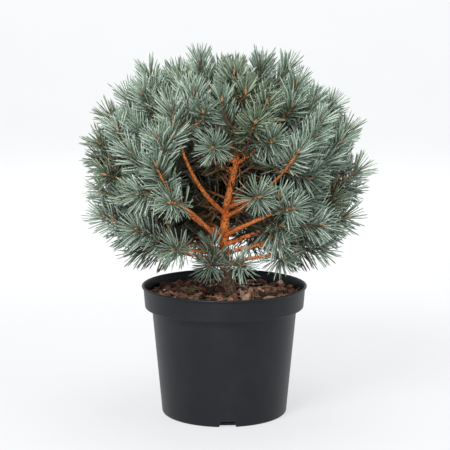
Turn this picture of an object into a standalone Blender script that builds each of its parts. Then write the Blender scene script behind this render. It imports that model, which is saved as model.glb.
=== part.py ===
"""Dwarf blue Scots pine in a round nursery pot.

Metres, +Z up. The origin is the centre of the pot's flat underside, and the front of the plant faces -Y.
The pot is filled with bark mulch, the trunk stands on it, and each bough ends where its mass of needles
begins.
"""

import math
import random

import bmesh
import bpy
from mathutils import Matrix, Vector

# Pot, a five litre container
POT_HEIGHT = 0.181
RIM_RADIUS = 0.115
RIM_LIP = 0.0034
BAND_TOP_RADIUS = 0.1128
BAND_FOOT_RADIUS = 0.1106
BAND_FOOT_Z = 0.150
BODY_TOP_RADIUS = 0.1010
BODY_FOOT_RADIUS = 0.0877
BASE_RADIUS = 0.0845
BASE_CORNER = 0.006
WALL = 0.0018
BASE_THICKNESS = 0.0030
POT_SIDES = 36
NOTCHES = 3
NOTCH_AZIMUTH = -87.0
NOTCH_HEIGHT = 0.008
NOTCH_TOP_WIDTH = 0.018
NOTCH_FOOT_WIDTH = 0.025
NOTCH_DEPTH = 0.012

# Mulch and trunk
MULCH_Z = 0.1655
MULCH_LUMP = 0.0022
MULCH_SEAT = 0.024
MULCH_RINGS = (0.045, 0.068, 0.090)
GAP = 0.0003
TRUNK_SIDES = 10
# The trunk's line from the mulch to the crown's last whorl, as (x, y, z, radius)
TRUNK_LINE = (
    (0.0055, 0.004, MULCH_Z + MULCH_LUMP + GAP, 0.0125),
    (0.0055, 0.004, 0.176, 0.0096),
    (0.0030, 0.003, 0.191, 0.0080),
    (0.0000, 0.001, 0.229, 0.0068),
    (0.0024, 0.000, 0.283, 0.0056),
    (0.0120, -0.004, 0.330, 0.0045),
    (0.0172, -0.008, 0.360, 0.0038),
    (0.0160, -0.014, 0.402, 0.0031),
    (0.0150, -0.018, 0.425, 0.0026),
)
FLARE_LOBES = 5
FLARE_HEIGHT = 0.016
FLARE_DEPTH = 0.14

# Crown, measured to the buds; the needles stand out past them
CROWN_CENTRE = Vector((0.003, 0.0, 0.335))
CROWN_HALF_WIDTH = 0.171
CROWN_RISE = 0.147
CROWN_DROP = 0.125
ROUNDNESS = 2.3
SITE_RADIUS = 0.100
CELL_MARGIN = 0.0006
BUD_MARGIN = 0.004
NEEDLE_FLOOR = POT_HEIGHT + 0.004
NEEDLE = 0.032
# Sizes that go by how steeply a shoot ends, as the size at level and how much more it is upright: the needled
# stretch, and how far back a limb's or a side shoot's bend lies as a share of its length
NEEDLED = (0.034, 0.058)
LIMB_LEAD = (0.28, 0.28)
FORK_LEAD = (0.275, 0.275)
LIMB_RADIUS = 0.0012
LIMB_RADIUS_BY_LENGTH = 0.0100
LIMB_TAPER = 0.62
BOUGH_SHARE = 0.46
LONGEST_BOUGH = 0.74
BOUGH_SIDES = 6
BOUGH_STEPS = 5
LEAST_BARE = 0.2
STEM_SHARE = 0.15
STEM_COLLAR = 0.0015
FORK_FIRST = 0.08
FORK_STEP = 0.065
LEVEL_TILT = 38.0
TILT_BY_HEIGHT = 0.62
TWIG_RADIUS = 0.0015
TWIG_ROOM = 0.0005
CORE_SIDES = 3
CORE_RADII = (0.0040, 0.0074, 0.0078, 0.0066, 0.0030)
BUD = 0.010
NEEDLE_LEAN = (64.0, 34.0)
NEEDLE_RADII = (0.0030, 0.0005)
NEEDLE_ROOM = (0.0041, 0.0008)
NEEDLE_TESTS = (0.05, 0.25, 0.45, 0.65, 0.85, 1.0)
# Layers of even shoots: how many are tried, how close they stand, and their nearest and furthest stand
SHOOT_LAYERS = ((230, 0.030, 0.86, 0.99), (78, 0.033, 0.58, 0.74))
LOWEST_SHOOT = -42.0
MARKED_SPACING = 0.016
SEED = 11

# Each mass of needles: its bough's collar height on the trunk, then its leading shoot's azimuth and elevation
# from the crown's centre, how far out that shoot's bud stands, and its end's tilt above level, in degrees.
# Azimuth -90 is the front, 0 the right.
MASSES = {
    "leader": (0.425, -81, 65, 1.0, 86),
    "crest_left": (0.402, 160, 76, 1.06, 85),
    "crest_right": (0.392, -26, 71, 1.03, 80),
    "shoulder_left": (0.354, 180, 38, 1.0, 62),
    "shoulder_right": (0.350, -33, 49, 1.03, 74),
    "front_left_high": (0.280, -121, 36, 1.0, 74),
    "front_right_high": (0.362, -76, 29, 1.0, 38),
    "front_left": (0.249, -122, 9, 1.0, 54),
    "front_centre": (0.288, -76, -3, 1.0, 10),
    "front_right": (0.276, -57, 15, 1.0, 46),
    "front_left_low": (0.231, -115, -6, 1.0, 8),
    "front_right_low": (0.249, -60, -9, 1.0, 12),
    "left": (0.240, -174, 7, 1.01, 26),
    "left_low": (0.229, -171, -18, 1.05, 28),
    "left_skirt": (0.214, -162, -38, 1.03, 4),
    "front_left_skirt": (0.220, -120, -32, 1.0, 6),
    "foot": (0.203, -112, -62, 0.98, 6),
    "right": (0.236, -5, 2, 1.04, 44),
    "right_low": (0.225, -14, -18, 1.03, 26),
    "right_skirt": (0.210, -17, -36, 1.06, 5),
    "back_right_skirt": (0.222, 45, -30, 1.05, 14),
    "back_left_skirt": (0.218, 122, -30, 1.05, 14),
    "back_right": (0.247, 34, 8, 1.0, 44),
    "back": (0.258, 84, 4, 1.02, 36),
    "back_left": (0.250, 134, 8, 1.0, 44),
    "back_right_high": (0.290, 40, 38, 1.0, 62),
    "back_high": (0.322, 92, 42, 1.0, 64),
    "back_left_high": (0.341, 138, 36, 1.0, 62),
}

# The other shoots that stand out, as azimuth, elevation, how far out, and tilt
MARKED_SHOOTS = (
    (176, 52, 1.06, 75), (171, 63, 0.96, 80), (-156, 43, 1.0, 66), (-102, 34, 1.0, 44), (-155, 23, 1.0, 64),
    (-123, 21, 1.0, 46), (-96, 18, 1.0, 10), (-176, 14, 1.03, 45), (6, 60, 1.05, 72), (-65, 41, 0.97, 58),
    (0, 33, 1.0, 56), (-68, 21, 0.97, 22), (-3, 20, 1.0, 52), (-48, 4, 0.95, 22), (-74, -55, 0.98, 6),
    (-47, -43, 1.0, 10), (-132, -4, 0.98, 14), (-158, 2, 1.0, 20), (-39, -19, 1.0, 16), (-13, -29, 0.98, 12),
    (-176, -7, 1.0, 16), (-167, -29, 1.0, 10), (168, -18, 1.02, 24), (2, -8, 0.98, 30), (4, -27, 0.98, 14),
    (-140, -22, 1.0, 12), (178, 26, 1.03, 52), (-170, 50, 0.96, 70), (112, 20, 0.78, 50), (64, 20, 0.78, 50),
    (62, 0, 0.76, 36), (118, 2, 0.76, 36), (90, -14, 0.74, 24),
)  # fmt: skip

# The space in front of the trunk that stays open, but for the shoots named above, as two corners
OPENING = (Vector((-0.068, -0.20, 0.18)), Vector((0.048, -0.01, 0.372)))

# Colours
BARK_ORANGE = (0.52, 0.17, 0.05)
BARK_GREY = (0.17, 0.11, 0.075)
NEEDLE_BLUE = (0.20, 0.33, 0.28)
MULCH_BROWN = (0.11, 0.055, 0.032)
POT_BLACK = (0.028, 0.028, 0.031)


def material(name, colour, roughness):
    made = bpy.data.materials.new(name)
    made.use_nodes = True
    shader = made.node_tree.nodes["Principled BSDF"]
    shader.inputs["Base Color"].default_value = (*colour, 1.0)
    shader.inputs["Roughness"].default_value = roughness
    shader.inputs["Metallic"].default_value = 0.0
    return made


def add_object(name, points, faces, finish, smooth=False):
    mesh = bpy.data.meshes.new(name)
    mesh.from_pydata([tuple(p) for p in points], [], faces)
    mesh.update()
    if smooth:
        mesh.shade_smooth()
        mesh.set_sharp_from_angle(angle=math.radians(40))
    made = bpy.data.objects.new(name, mesh)
    bpy.context.scene.collection.objects.link(made)
    made.data.materials.append(finish)
    return made


def turned(profile, sides, shape=None):
    """Points and faces of a body turned about Z, from a profile of (radius, z) that meets the axis at
    both ends."""
    points, faces = [Vector((0, 0, profile[0][1]))], []
    for ring, (radius, z) in enumerate(profile[1:-1]):
        for i in range(sides):
            angle = 2 * math.pi * i / sides
            p = Vector((radius * math.cos(angle), radius * math.sin(angle), z))
            points.append(shape(p, ring, angle) if shape else p)
    points.append(Vector((0, 0, profile[-1][1])))
    rings = len(profile) - 2
    last = len(points) - 1
    for i in range(sides):
        j = (i + 1) % sides
        faces.append((0, 1 + j, 1 + i))
        for ring in range(rings - 1):
            low, high = 1 + ring * sides, 1 + (ring + 1) * sides
            faces.append((low + i, low + j, high + j, high + i))
        top = 1 + (rings - 1) * sides
        faces.append((top + i, top + j, last))
    return points, faces


def tube(line, radii, sides, lobes=None):
    """Points and faces of a closed tapering limb along a line of points."""
    points, faces = [], []
    side = (line[1] - line[0]).orthogonal().normalized()
    for k, centre in enumerate(line):
        along = (line[min(k + 1, len(line) - 1)] - line[max(k - 1, 0)]).normalized()
        side = (side - along * side.dot(along)).normalized()
        other = along.cross(side)
        for i in range(sides):
            angle = 2 * math.pi * i / sides
            radius = radii[k] * (lobes(k, angle) if lobes else 1.0)
            points.append(centre + side * (radius * math.cos(angle)) + other * (radius * math.sin(angle)))
        if k:
            low, high = (k - 1) * sides, k * sides
            for i in range(sides):
                j = (i + 1) % sides
                faces.append((low + i, low + j, high + j, high + i))
    faces.append(tuple(reversed(range(sides))))
    faces.append(tuple(range((len(line) - 1) * sides, len(line) * sides)))
    return points, faces


def cut(target, cutter):
    modifier = target.modifiers.new("cut", "BOOLEAN")
    modifier.operation = "DIFFERENCE"
    modifier.object = cutter
    cutter.hide_render = True
    cutter.display_type = "WIRE"


def pot_profile():
    """The pot's wall from the centre of its underside, up its outside, over the lip and down its inside."""
    outside = [
        (0.0, 0.0),
        (BASE_RADIUS, 0.0),
        (BASE_RADIUS + 0.6 * (BODY_FOOT_RADIUS - BASE_RADIUS), 0.25 * BASE_CORNER),
        (BODY_FOOT_RADIUS, BASE_CORNER),
        (BODY_TOP_RADIUS, BAND_FOOT_Z - 0.001),
        (BAND_FOOT_RADIUS - 0.002, BAND_FOOT_Z),
        (BAND_FOOT_RADIUS, BAND_FOOT_Z + 0.003),
        (BAND_TOP_RADIUS, POT_HEIGHT - RIM_LIP),
        (RIM_RADIUS, POT_HEIGHT - 0.8 * RIM_LIP),
        (RIM_RADIUS, POT_HEIGHT - 0.3 * RIM_LIP),
        (RIM_RADIUS - 0.0010, POT_HEIGHT),
    ]
    inside = [
        (BAND_TOP_RADIUS - WALL, POT_HEIGHT),
        (BAND_FOOT_RADIUS - WALL, BAND_FOOT_Z + WALL),
        (BODY_TOP_RADIUS - WALL, BAND_FOOT_Z + WALL - 0.001),
        (BODY_FOOT_RADIUS - WALL, BASE_THICKNESS),
        (0.0, BASE_THICKNESS),
    ]
    return outside + inside


def make_pot(finish):
    pot = add_object("pot", *turned(pot_profile(), POT_SIDES), finish, smooth=True)
    near, far = BODY_FOOT_RADIUS - NOTCH_DEPTH, BODY_FOOT_RADIUS + 0.01
    foot, top = NOTCH_FOOT_WIDTH / 2, NOTCH_TOP_WIDTH / 2
    section = ((-foot, -0.002), (foot, -0.002), (top, NOTCH_HEIGHT), (-top, NOTCH_HEIGHT))
    for n in range(NOTCHES):
        turn = Matrix.Rotation(math.radians(NOTCH_AZIMUTH + 360 * n / NOTCHES), 4, "Z")
        points = [turn @ Vector((r, y, z)) for r in (near, far) for y, z in section]
        faces = [(3, 2, 1, 0), (4, 5, 6, 7)]
        faces += [(i, (i + 1) % 4, 4 + (i + 1) % 4, 4 + i) for i in range(4)]
        cut(pot, add_object(f"notch_cutter_{n}", points, faces, finish))
    return pot


def make_mulch(finish, rng):
    """The root ball and its bark mulch fill the pot up to MULCH_Z, with a lumpy top."""
    slope = (BAND_TOP_RADIUS - BAND_FOOT_RADIUS) / (POT_HEIGHT - RIM_LIP - BAND_FOOT_Z - 0.003)
    edge = BAND_FOOT_RADIUS + slope * (MULCH_Z - BAND_FOOT_Z) - WALL - 4 * GAP
    plug_foot_z = NOTCH_HEIGHT + 3 * GAP
    plug_foot = BODY_FOOT_RADIUS - NOTCH_DEPTH - GAP
    wall_slope = (BODY_TOP_RADIUS - BODY_FOOT_RADIUS) / (BAND_FOOT_Z - BASE_CORNER)
    profile = [
        (0.0, BASE_THICKNESS + GAP),
        (plug_foot, BASE_THICKNESS + GAP),
        (plug_foot, plug_foot_z),
        (BODY_FOOT_RADIUS - WALL - 4 * GAP + wall_slope * plug_foot_z, plug_foot_z),
        (BODY_TOP_RADIUS - WALL - 3 * GAP, BAND_FOOT_Z + WALL),
        (BAND_FOOT_RADIUS - WALL - 3 * GAP, BAND_FOOT_Z + WALL + 3 * GAP),
        (edge, MULCH_Z - MULCH_LUMP),
        *((radius, MULCH_Z) for radius in reversed(MULCH_RINGS)),
        (MULCH_SEAT, MULCH_Z + MULCH_LUMP),
        (0.0, MULCH_Z + MULCH_LUMP),
    ]
    seat_ring = len(profile) - 3
    loose_rings = range(seat_ring - len(MULCH_RINGS), seat_ring)

    def lumps(p, ring, angle):
        if ring in loose_rings:
            return p + Vector((0, 0, rng.uniform(-MULCH_LUMP, MULCH_LUMP)))
        return p

    return add_object("mulch", *turned(profile, POT_SIDES, lumps), finish)


def trunk_at(z):
    """The trunk's centre and radius at a height."""
    for (x0, y0, z0, r0), (x1, y1, z1, r1) in zip(TRUNK_LINE, TRUNK_LINE[1:]):
        if z <= z1 or (x1, y1, z1, r1) == TRUNK_LINE[-1]:
            t = (z - z0) / (z1 - z0)
            return Vector((x0 + t * (x1 - x0), y0 + t * (y1 - y0), z)), r0 + t * (r1 - r0)


def flare(k, angle):
    """The root flare's lobes at the foot, which fade up the trunk."""
    fade = max(0.0, 1 - (TRUNK_LINE[k][2] - TRUNK_LINE[0][2]) / FLARE_HEIGHT)
    return 1 + FLARE_DEPTH * fade * math.cos(FLARE_LOBES * angle + 0.6)


def make_trunk(name, finish, grown=0.0):
    line = [Vector(row[:3]) for row in TRUNK_LINE]
    radii = [row[3] + grown for row in TRUNK_LINE]
    return add_object(name, *tube(line, radii, TRUNK_SIDES, flare), finish, smooth=True)


def heading(azimuth, elevation):
    a, e = math.radians(azimuth), math.radians(elevation)
    return Vector((math.cos(e) * math.cos(a), math.cos(e) * math.sin(a), math.sin(e)))


def reach(direction):
    """How far the buds stand from the crown's centre: a globe, flatter below and squarer than an ellipse."""
    flat = math.hypot(direction.x, direction.y) / CROWN_HALF_WIDTH
    tall = abs(direction.z) / (CROWN_RISE if direction.z > 0 else CROWN_DROP)
    return (flat**ROUNDNESS + tall**ROUNDNESS) ** (-1 / ROUNDNESS)


def bud_at(azimuth, elevation, stand):
    way = heading(azimuth, elevation)
    return CROWN_CENTRE + way * (reach(way) * stand)


def sites():
    """The middle of each mass's space."""
    return {name: CROWN_CENTRE + heading(row[1], row[2]) * SITE_RADIUS for name, row in MASSES.items()}


def inside_cell(point, name, all_sites, margin):
    """Whether a point is nearer to the mass's own site than to any other, with a margin to each border."""
    own = all_sites[name]
    for other, site in all_sites.items():
        if other != name and (point - (own + site) / 2).dot((own - site).normalized()) < margin:
            return False
    return True


def curve_point(start, bend, end, t):
    """The point at share t of a limb's curve."""
    return start * (1 - t) ** 2 + bend * (2 * t * (1 - t)) + end * t**2


def tilt_at(elevation):
    """How far a shoot's end rises above level: the lower the shoot, the less."""
    return LEVEL_TILT + TILT_BY_HEIGHT * elevation


def by_tilt(size, tilt):
    """A size at a tilt, from its value at level and how much more it is upright."""
    return size[0] + size[1] * tilt / 90


def curve_to(start, head, lead):
    """The curve of a limb or twig that ends on its shoot's azimuth and tilt, and the share of it that is
    bare."""
    bud, azimuth, tilt = head
    whole = (bud - start).length
    bend = bud - heading(azimuth, tilt) * (by_tilt(lead, tilt) * whole)
    return (start, bend, bud), max(LEAST_BARE, 1 - by_tilt(NEEDLED, tilt) / whole)


def all_heads(all_sites):
    """Each mass's shoots as {name: [(bud, azimuth, tilt)]}: its leader, the marked shoots, then shoots spread
    evenly over the crown and, last, inside it. The even ones leave the trunk in sight at the front."""
    rng = random.Random(SEED)
    heads = {name: [(bud_at(*row[1:4]), row[1], row[4])] for name, row in MASSES.items()}

    def place(bud, azimuth, tilt, spacing, margin):
        if any((bud - other[0]).length < spacing for group in heads.values() for other in group):
            return
        for name in MASSES:
            if inside_cell(bud, name, all_sites, margin):
                heads[name].append((bud, azimuth, tilt))

    for azimuth, elevation, stand, tilt in MARKED_SHOOTS:
        place(bud_at(azimuth, elevation, stand), azimuth, tilt, MARKED_SPACING, CELL_MARGIN)
    for count, spacing, nearest, furthest in SHOOT_LAYERS:
        for n in range(count):
            elevation = math.degrees(math.asin(1 - 2 * (n + 0.5) / count))
            azimuth = math.degrees(n * math.pi * (3 - math.sqrt(5))) + rng.uniform(-5, 5)
            bud = bud_at(azimuth, elevation, rng.uniform(nearest, furthest))
            in_sight = all(low < part < high for low, part, high in zip(OPENING[0], bud, OPENING[1]))
            if elevation > LOWEST_SHOOT and not in_sight:
                place(bud, azimuth, tilt_at(elevation), spacing, BUD_MARGIN)
    return heads


def grow_crown():
    """Each mass as its leading curve, the shares of it that are bough and bare, and its side shoots, each
    a curve and its bare share: {name: (curve, share, bare, shoots)}. The shoots furthest off the bough's
    line leave it first."""
    all_sites = sites()
    heads = all_heads(all_sites)
    crown = {}
    for name, row in MASSES.items():
        curve, bare = curve_to(trunk_at(row[0])[0], heads[name][0], LIMB_LEAD)
        share = BOUGH_SHARE
        while share < LONGEST_BOUGH:
            if inside_cell(curve_point(*curve, share), name, all_sites, BUD_MARGIN):
                break
            share += 0.02
        stem = curve_point(*curve, share)
        onward = curve[2] - stem
        shoots = []
        for n, head in enumerate(sorted(heads[name][1:], key=lambda head: -onward.angle(head[0] - stem))):
            fork = curve_point(*curve, share + (1 - share) * (FORK_FIRST + FORK_STEP * n))
            shoots.append(curve_to(fork, head, FORK_LEAD))
        crown[name] = (curve, share, max(share, bare), shoots)
    return crown


def limb_radius(curve, t):
    """A limb's radius at share t of its length."""
    return (LIMB_RADIUS + LIMB_RADIUS_BY_LENGTH * (curve[2] - curve[0]).length) * (1 - LIMB_TAPER * t)


class Clearance:
    """Lines with a radius at each end, and whether a point is clear of them all."""

    def __init__(self, pieces=()):
        self.pieces = list(pieces)

    def add(self, line, radii):
        for a, b, ra, rb in zip(line, line[1:], radii, radii[1:]):
            self.pieces.append((a, b - a, (b - a).length_squared, ra, rb))

    def clear(self, point, room):
        for a, way, square, ra, rb in self.pieces:
            t = min(1.0, max(0.0, (point - a).dot(way) / square))
            if (point - a - way * t).length < ra + (rb - ra) * t + room:
                return False
        return True


class Shoot:
    """A twig and its needled end: rings of CORE_SIDES along a line, the last len(CORE_RADII) of which
    bear needles."""

    def __init__(self, wood, radii, curve, bare):
        steps = len(CORE_RADII) - 1
        self.bare = len(wood)
        self.line = list(wood)
        for k in range(steps + 1):
            self.line.append(curve_point(*curve, bare + (1 - bare) * k / steps))
        self.radii = [*radii, *CORE_RADII]
        self.points, self.faces, self.frames = [], [], []
        self.turn_rings()

    def along(self):
        """Points along the shoot past its fork, with its radius at each."""
        rings = list(zip(self.line, self.radii))
        for (a, ra), (b, rb) in zip(rings, rings[1:]):
            for t in (0.5, 1.0):
                yield a.lerp(b, t), ra + (rb - ra) * t

    def turn_rings(self):
        line = self.line
        side = (line[1] - line[0]).orthogonal().normalized()
        for k, centre in enumerate(line):
            along = (line[min(k + 1, len(line) - 1)] - line[max(k - 1, 0)]).normalized()
            side = (side - along * side.dot(along)).normalized()
            self.frames.append(along)
            for i in range(CORE_SIDES):
                angle = 2 * math.pi * (i + 0.5 * (k % 2)) / CORE_SIDES
                out = side * math.cos(angle) + along.cross(side) * math.sin(angle)
                self.points.append(centre + out * self.radii[k])
        self.faces.append(tuple(reversed(range(CORE_SIDES))))
        last = (len(line) - 1) * CORE_SIDES
        self.points.append(line[-1] + self.frames[-1] * BUD)
        self.faces += [(last + i, last + (i + 1) % CORE_SIDES, last + CORE_SIDES) for i in range(CORE_SIDES)]

    def grow_needles(self, name, all_sites, limbs, others):
        """Draws every second face out to a needle, unless that would leave the mass's space, touch a limb or
        cross the needles or wood of the other shoots. Gives the needles' lines."""
        grown = Clearance()
        for k in range(len(self.line) - 1):
            low, high = k * CORE_SIDES, (k + 1) * CORE_SIDES
            share = (k - self.bare) / (len(CORE_RADII) - 1)
            lean = math.radians(NEEDLE_LEAN[0] + (NEEDLE_LEAN[1] - NEEDLE_LEAN[0]) * share)
            for i in range(CORE_SIDES):
                j = (i + 1) % CORE_SIDES
                up = (i + k % 2) % CORE_SIDES
                self.faces.append((low + j, high + (up + 1) % CORE_SIDES, high + up))
                corners = (low + i, low + j, high + up)
                middle = sum((self.points[c] for c in corners), Vector()) / 3
                out = middle - self.line[k].lerp(self.line[k + 1], 1 / 3)
                out -= self.frames[k] * out.dot(self.frames[k])
                way = out.normalized() * math.sin(lean) + self.frames[k] * math.cos(lean)
                length = free_length(middle, way, name, all_sites, (limbs, others)) if k >= self.bare else 0.0
                if length:
                    self.points.append(middle + way * length)
                    tip = len(self.points) - 1
                    self.faces += [(a, b, tip) for a, b in zip(corners, corners[1:] + corners[:1])]
                    grown.add([middle, middle + way * length], NEEDLE_RADII)
                else:
                    self.faces.append(corners)
        return grown.pieces


def free_length(foot, way, name, all_sites, obstacles):
    """The longest of three lengths that keeps a needle in its mass's space and off the obstacles, or 0."""
    at_foot, at_tip = NEEDLE_ROOM
    for length in (NEEDLE, 0.7 * NEEDLE, 0.45 * NEEDLE):
        tip = foot + way * length
        if tip.z > NEEDLE_FLOOR and inside_cell(tip, name, all_sites, CELL_MARGIN):
            steps = [(foot.lerp(tip, t), at_foot + (at_tip - at_foot) * t) for t in NEEDLE_TESTS]
            if all(group.clear(point, room) for group in obstacles for point, room in steps):
                return length
    return 0.0


def keep_outer_shell(mesh):
    """Fills the hollows that a union sealed, and drops its loose scraps, by keeping the largest shell
    alone."""
    shape = bmesh.new()
    shape.from_mesh(mesh)
    waiting, shells = set(shape.faces), []
    while waiting:
        shell, edge_of_it = set(), [waiting.pop()]
        while edge_of_it:
            face = edge_of_it.pop()
            shell.add(face)
            for edge in face.edges:
                for other in edge.link_faces:
                    if other in waiting:
                        waiting.discard(other)
                        edge_of_it.append(other)
        shells.append(shell)
    shells.sort(key=len)
    bmesh.ops.delete(shape, geom=[face for shell in shells[:-1] for face in shell], context="FACES")
    shape.to_mesh(mesh)
    shape.free()


def join_mass(name, pieces, finish):
    """Joins a mass's stem, twigs and shoots into one solid with one union, then drops the pieces."""
    mass = add_object(name, *pieces[0], finish)
    if len(pieces) == 1:
        return mass
    gathered = bpy.data.collections.new(name + "_pieces")
    bpy.context.scene.collection.children.link(gathered)
    for n, piece in enumerate(pieces[1:]):
        part = add_object(f"{name}_{n}", *piece, finish)
        bpy.context.scene.collection.objects.unlink(part)
        gathered.objects.link(part)
    union = mass.modifiers.new("union", "BOOLEAN")
    union.operation = "UNION"
    union.operand_type = "COLLECTION"
    union.collection = gathered
    union.solver = "MANIFOLD"
    graph = bpy.context.evaluated_depsgraph_get()
    joined = bpy.data.meshes.new_from_object(mass.evaluated_get(graph))
    mass.modifiers.clear()
    keep_outer_shell(joined)
    mass.data = joined
    for part in list(gathered.objects):
        bpy.data.objects.remove(part)
    bpy.data.collections.remove(gathered)
    return mass


def make_crown(bark, needles, trunk_cutter):
    """The boughs, each ending where its mass begins, and the masses."""
    crown, all_sites = grow_crown(), sites()
    limbs = Clearance()
    trunk_line = [Vector(row[:3]) for row in TRUNK_LINE]
    limbs.add(trunk_line, [row[3] for row in TRUNK_LINE])
    tips = {"leader": trunk_line[-2:]}
    for name, (curve, share, _, _) in crown.items():
        if name in tips:
            continue
        shares = [share * k / BOUGH_STEPS for k in range(BOUGH_STEPS + 1)]
        line = [curve_point(*curve, t) for t in shares]
        radii = [limb_radius(curve, t) for t in shares]
        limbs.add(line, radii)
        cut(add_object("bough_" + name, *tube(line, radii, BOUGH_SIDES), bark, smooth=True), trunk_cutter)
        tips[name] = line[-2:]
    for name, (curve, share, bare, shoots) in crown.items():
        before, tip = tips[name]
        first = 0.0 if name == "leader" else share
        onward = (tip - before).normalized()
        outer = first + STEM_SHARE * (1 - first)
        wood = [tip + onward * GAP, tip + onward * STEM_COLLAR]
        wood.append(curve_point(*curve, (first + outer) / 2))
        radii = [limb_radius(curve, t) for t in (first, first, outer)]
        grown = [Shoot(wood, radii, curve, max(outer, bare))]
        for twig, twig_bare in shoots:
            wood = [twig[0], curve_point(*twig, 0.5 * twig_bare)]
            shoot = Shoot(wood, (TWIG_RADIUS, TWIG_RADIUS), twig, twig_bare)
            if all(limbs.clear(point, radius + TWIG_ROOM) for point, radius in shoot.along()):
                grown.append(shoot)
        needle_lines = []
        for shoot in grown:
            others = Clearance(needle_lines)
            for other in grown:
                if other is not shoot:
                    others.add(other.line, other.radii)
            needle_lines += shoot.grow_needles(name, all_sites, limbs, others)
        join_mass("needles_" + name, [(shoot.points, shoot.faces) for shoot in grown], needles)


def main():
    for obj in list(bpy.data.objects):
        bpy.data.objects.remove(obj)
    rng = random.Random(SEED)
    bark = material("bark", BARK_ORANGE, 0.75)
    old_bark = material("old_bark", BARK_GREY, 0.85)
    needles = material("needles", NEEDLE_BLUE, 0.5)
    make_pot(material("pot_plastic", POT_BLACK, 0.45))
    make_mulch(material("bark_mulch", MULCH_BROWN, 0.9), rng)
    make_trunk("trunk", old_bark)
    trunk_cutter = make_trunk("trunk_cutter", old_bark, GAP)
    make_crown(bark, needles, trunk_cutter)
    trunk_cutter.hide_render = True
    trunk_cutter.display_type = "WIRE"


main()
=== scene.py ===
"""Looks of the dwarf blue Scots pine in its nursery pot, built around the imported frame.

Metres, +Z up, front at -Y. The crown grows by the same rule as its solids, carried on to finer twigs and needles.
"""

import math
import random

import bmesh
import bpy
import numpy as np
from mathutils import Matrix, Vector, noise


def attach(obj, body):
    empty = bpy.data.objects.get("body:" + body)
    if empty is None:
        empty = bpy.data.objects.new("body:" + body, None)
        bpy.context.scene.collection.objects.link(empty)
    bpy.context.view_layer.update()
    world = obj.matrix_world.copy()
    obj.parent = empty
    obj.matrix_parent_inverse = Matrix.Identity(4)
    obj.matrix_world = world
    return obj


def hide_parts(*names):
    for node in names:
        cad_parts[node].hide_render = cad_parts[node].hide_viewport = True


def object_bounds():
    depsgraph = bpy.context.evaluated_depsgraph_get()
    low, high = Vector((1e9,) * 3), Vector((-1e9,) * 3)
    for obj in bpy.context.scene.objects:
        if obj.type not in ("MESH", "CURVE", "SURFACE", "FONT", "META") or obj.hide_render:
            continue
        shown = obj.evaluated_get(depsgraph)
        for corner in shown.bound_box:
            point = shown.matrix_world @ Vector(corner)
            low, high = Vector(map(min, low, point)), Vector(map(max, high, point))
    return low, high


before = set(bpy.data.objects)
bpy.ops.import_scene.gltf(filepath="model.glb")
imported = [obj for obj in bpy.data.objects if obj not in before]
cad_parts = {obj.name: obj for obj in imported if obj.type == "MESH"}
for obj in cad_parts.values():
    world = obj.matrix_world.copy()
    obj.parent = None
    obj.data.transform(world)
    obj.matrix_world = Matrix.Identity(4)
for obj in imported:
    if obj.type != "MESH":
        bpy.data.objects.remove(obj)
CAD_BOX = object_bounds()

# Camera, fitted to the pot's outline
CAMERA_PLACE = (0.001, -1.99, 0.576)
CAMERA_PITCH = 8.905
CAMERA_LENS = 116.35
SENSOR = 36.0

# Pot, a five litre container
POT_HEIGHT = 0.181
RIM_RADIUS = 0.115
RIM_LIP = 0.0034
BAND_TOP_RADIUS = 0.1128
BAND_FOOT_RADIUS = 0.1106
BAND_FOOT_Z = 0.150
BODY_TOP_RADIUS = 0.1010
BODY_FOOT_RADIUS = 0.0877
BASE_RADIUS = 0.0845
BASE_CORNER = 0.006
WALL = 0.0018
BASE_THICKNESS = 0.0030
POT_SIDES = 180
NOTCHES = 3
NOTCH_AZIMUTH = -87.0
NOTCH_HEIGHT = 0.008
NOTCH_TOP_WIDTH = 0.018
NOTCH_FOOT_WIDTH = 0.025
NOTCH_DEPTH = 0.012

# Mulch
MULCH_Z = 0.1655
MULCH_LUMP = 0.0022
CHIPS = 290
CHIP_SIZES = (0.0060, 0.0125)
CHIP_TILT = 32.0
PALE_CHIPS = 0.15
CRUMBS = 220
FALLEN_NEEDLES = 55
STRAWS = 7
STRAW_LENGTHS = (0.010, 0.024)
STRAW_WIDTH = 0.0013
GRAINS = 12

# Trunk, as (x, y, z, radius)
TRUNK_LINE = (
    (0.0055, 0.004, MULCH_Z - 0.003, 0.0125),
    (0.0055, 0.004, 0.176, 0.0096),
    (0.0030, 0.003, 0.191, 0.0080),
    (0.0000, 0.001, 0.229, 0.0068),
    (0.0024, 0.000, 0.283, 0.0056),
    (0.0120, -0.004, 0.330, 0.0045),
    (0.0172, -0.008, 0.360, 0.0038),
    (0.0160, -0.014, 0.402, 0.0031),
    (0.0150, -0.018, 0.425, 0.0026),
)
FLARE_LOBES = 5
FLARE_HEIGHT = 0.016
FLARE_DEPTH = 0.14
OLD_BARK_TOP = 0.236

# Bark scales: their size, their spacing along the trunk and the boughs, and their outline as shares of the size
# along, across and off the limb, with the crest and the underside last
SCALE = 0.0017
TRUNK_SCALE_SPACING = 0.00085
BOUGH_SCALE_SPACING = 0.00125
SCALE_CORNERS = (
    (-0.55, -0.5, 0.0), (-0.55, 0.5, 0.0), (0.15, 0.62, 0.1), (0.95, 0.0, 0.42), (0.15, -0.62, 0.1),
    (0.2, 0.0, 0.42), (0.0, 0.0, -0.25),
)  # fmt: skip

# Crown, by the rule and the sizes of the solids
CROWN_CENTRE = Vector((0.003, 0.0, 0.335))
CROWN_HALF_WIDTH = 0.171
CROWN_RISE = 0.147
CROWN_DROP = 0.125
ROUNDNESS = 2.3
SITE_RADIUS = 0.100
CELL_MARGIN = 0.0006
BUD_MARGIN = 0.004
NEEDLE_FLOOR = POT_HEIGHT + 0.003
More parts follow.
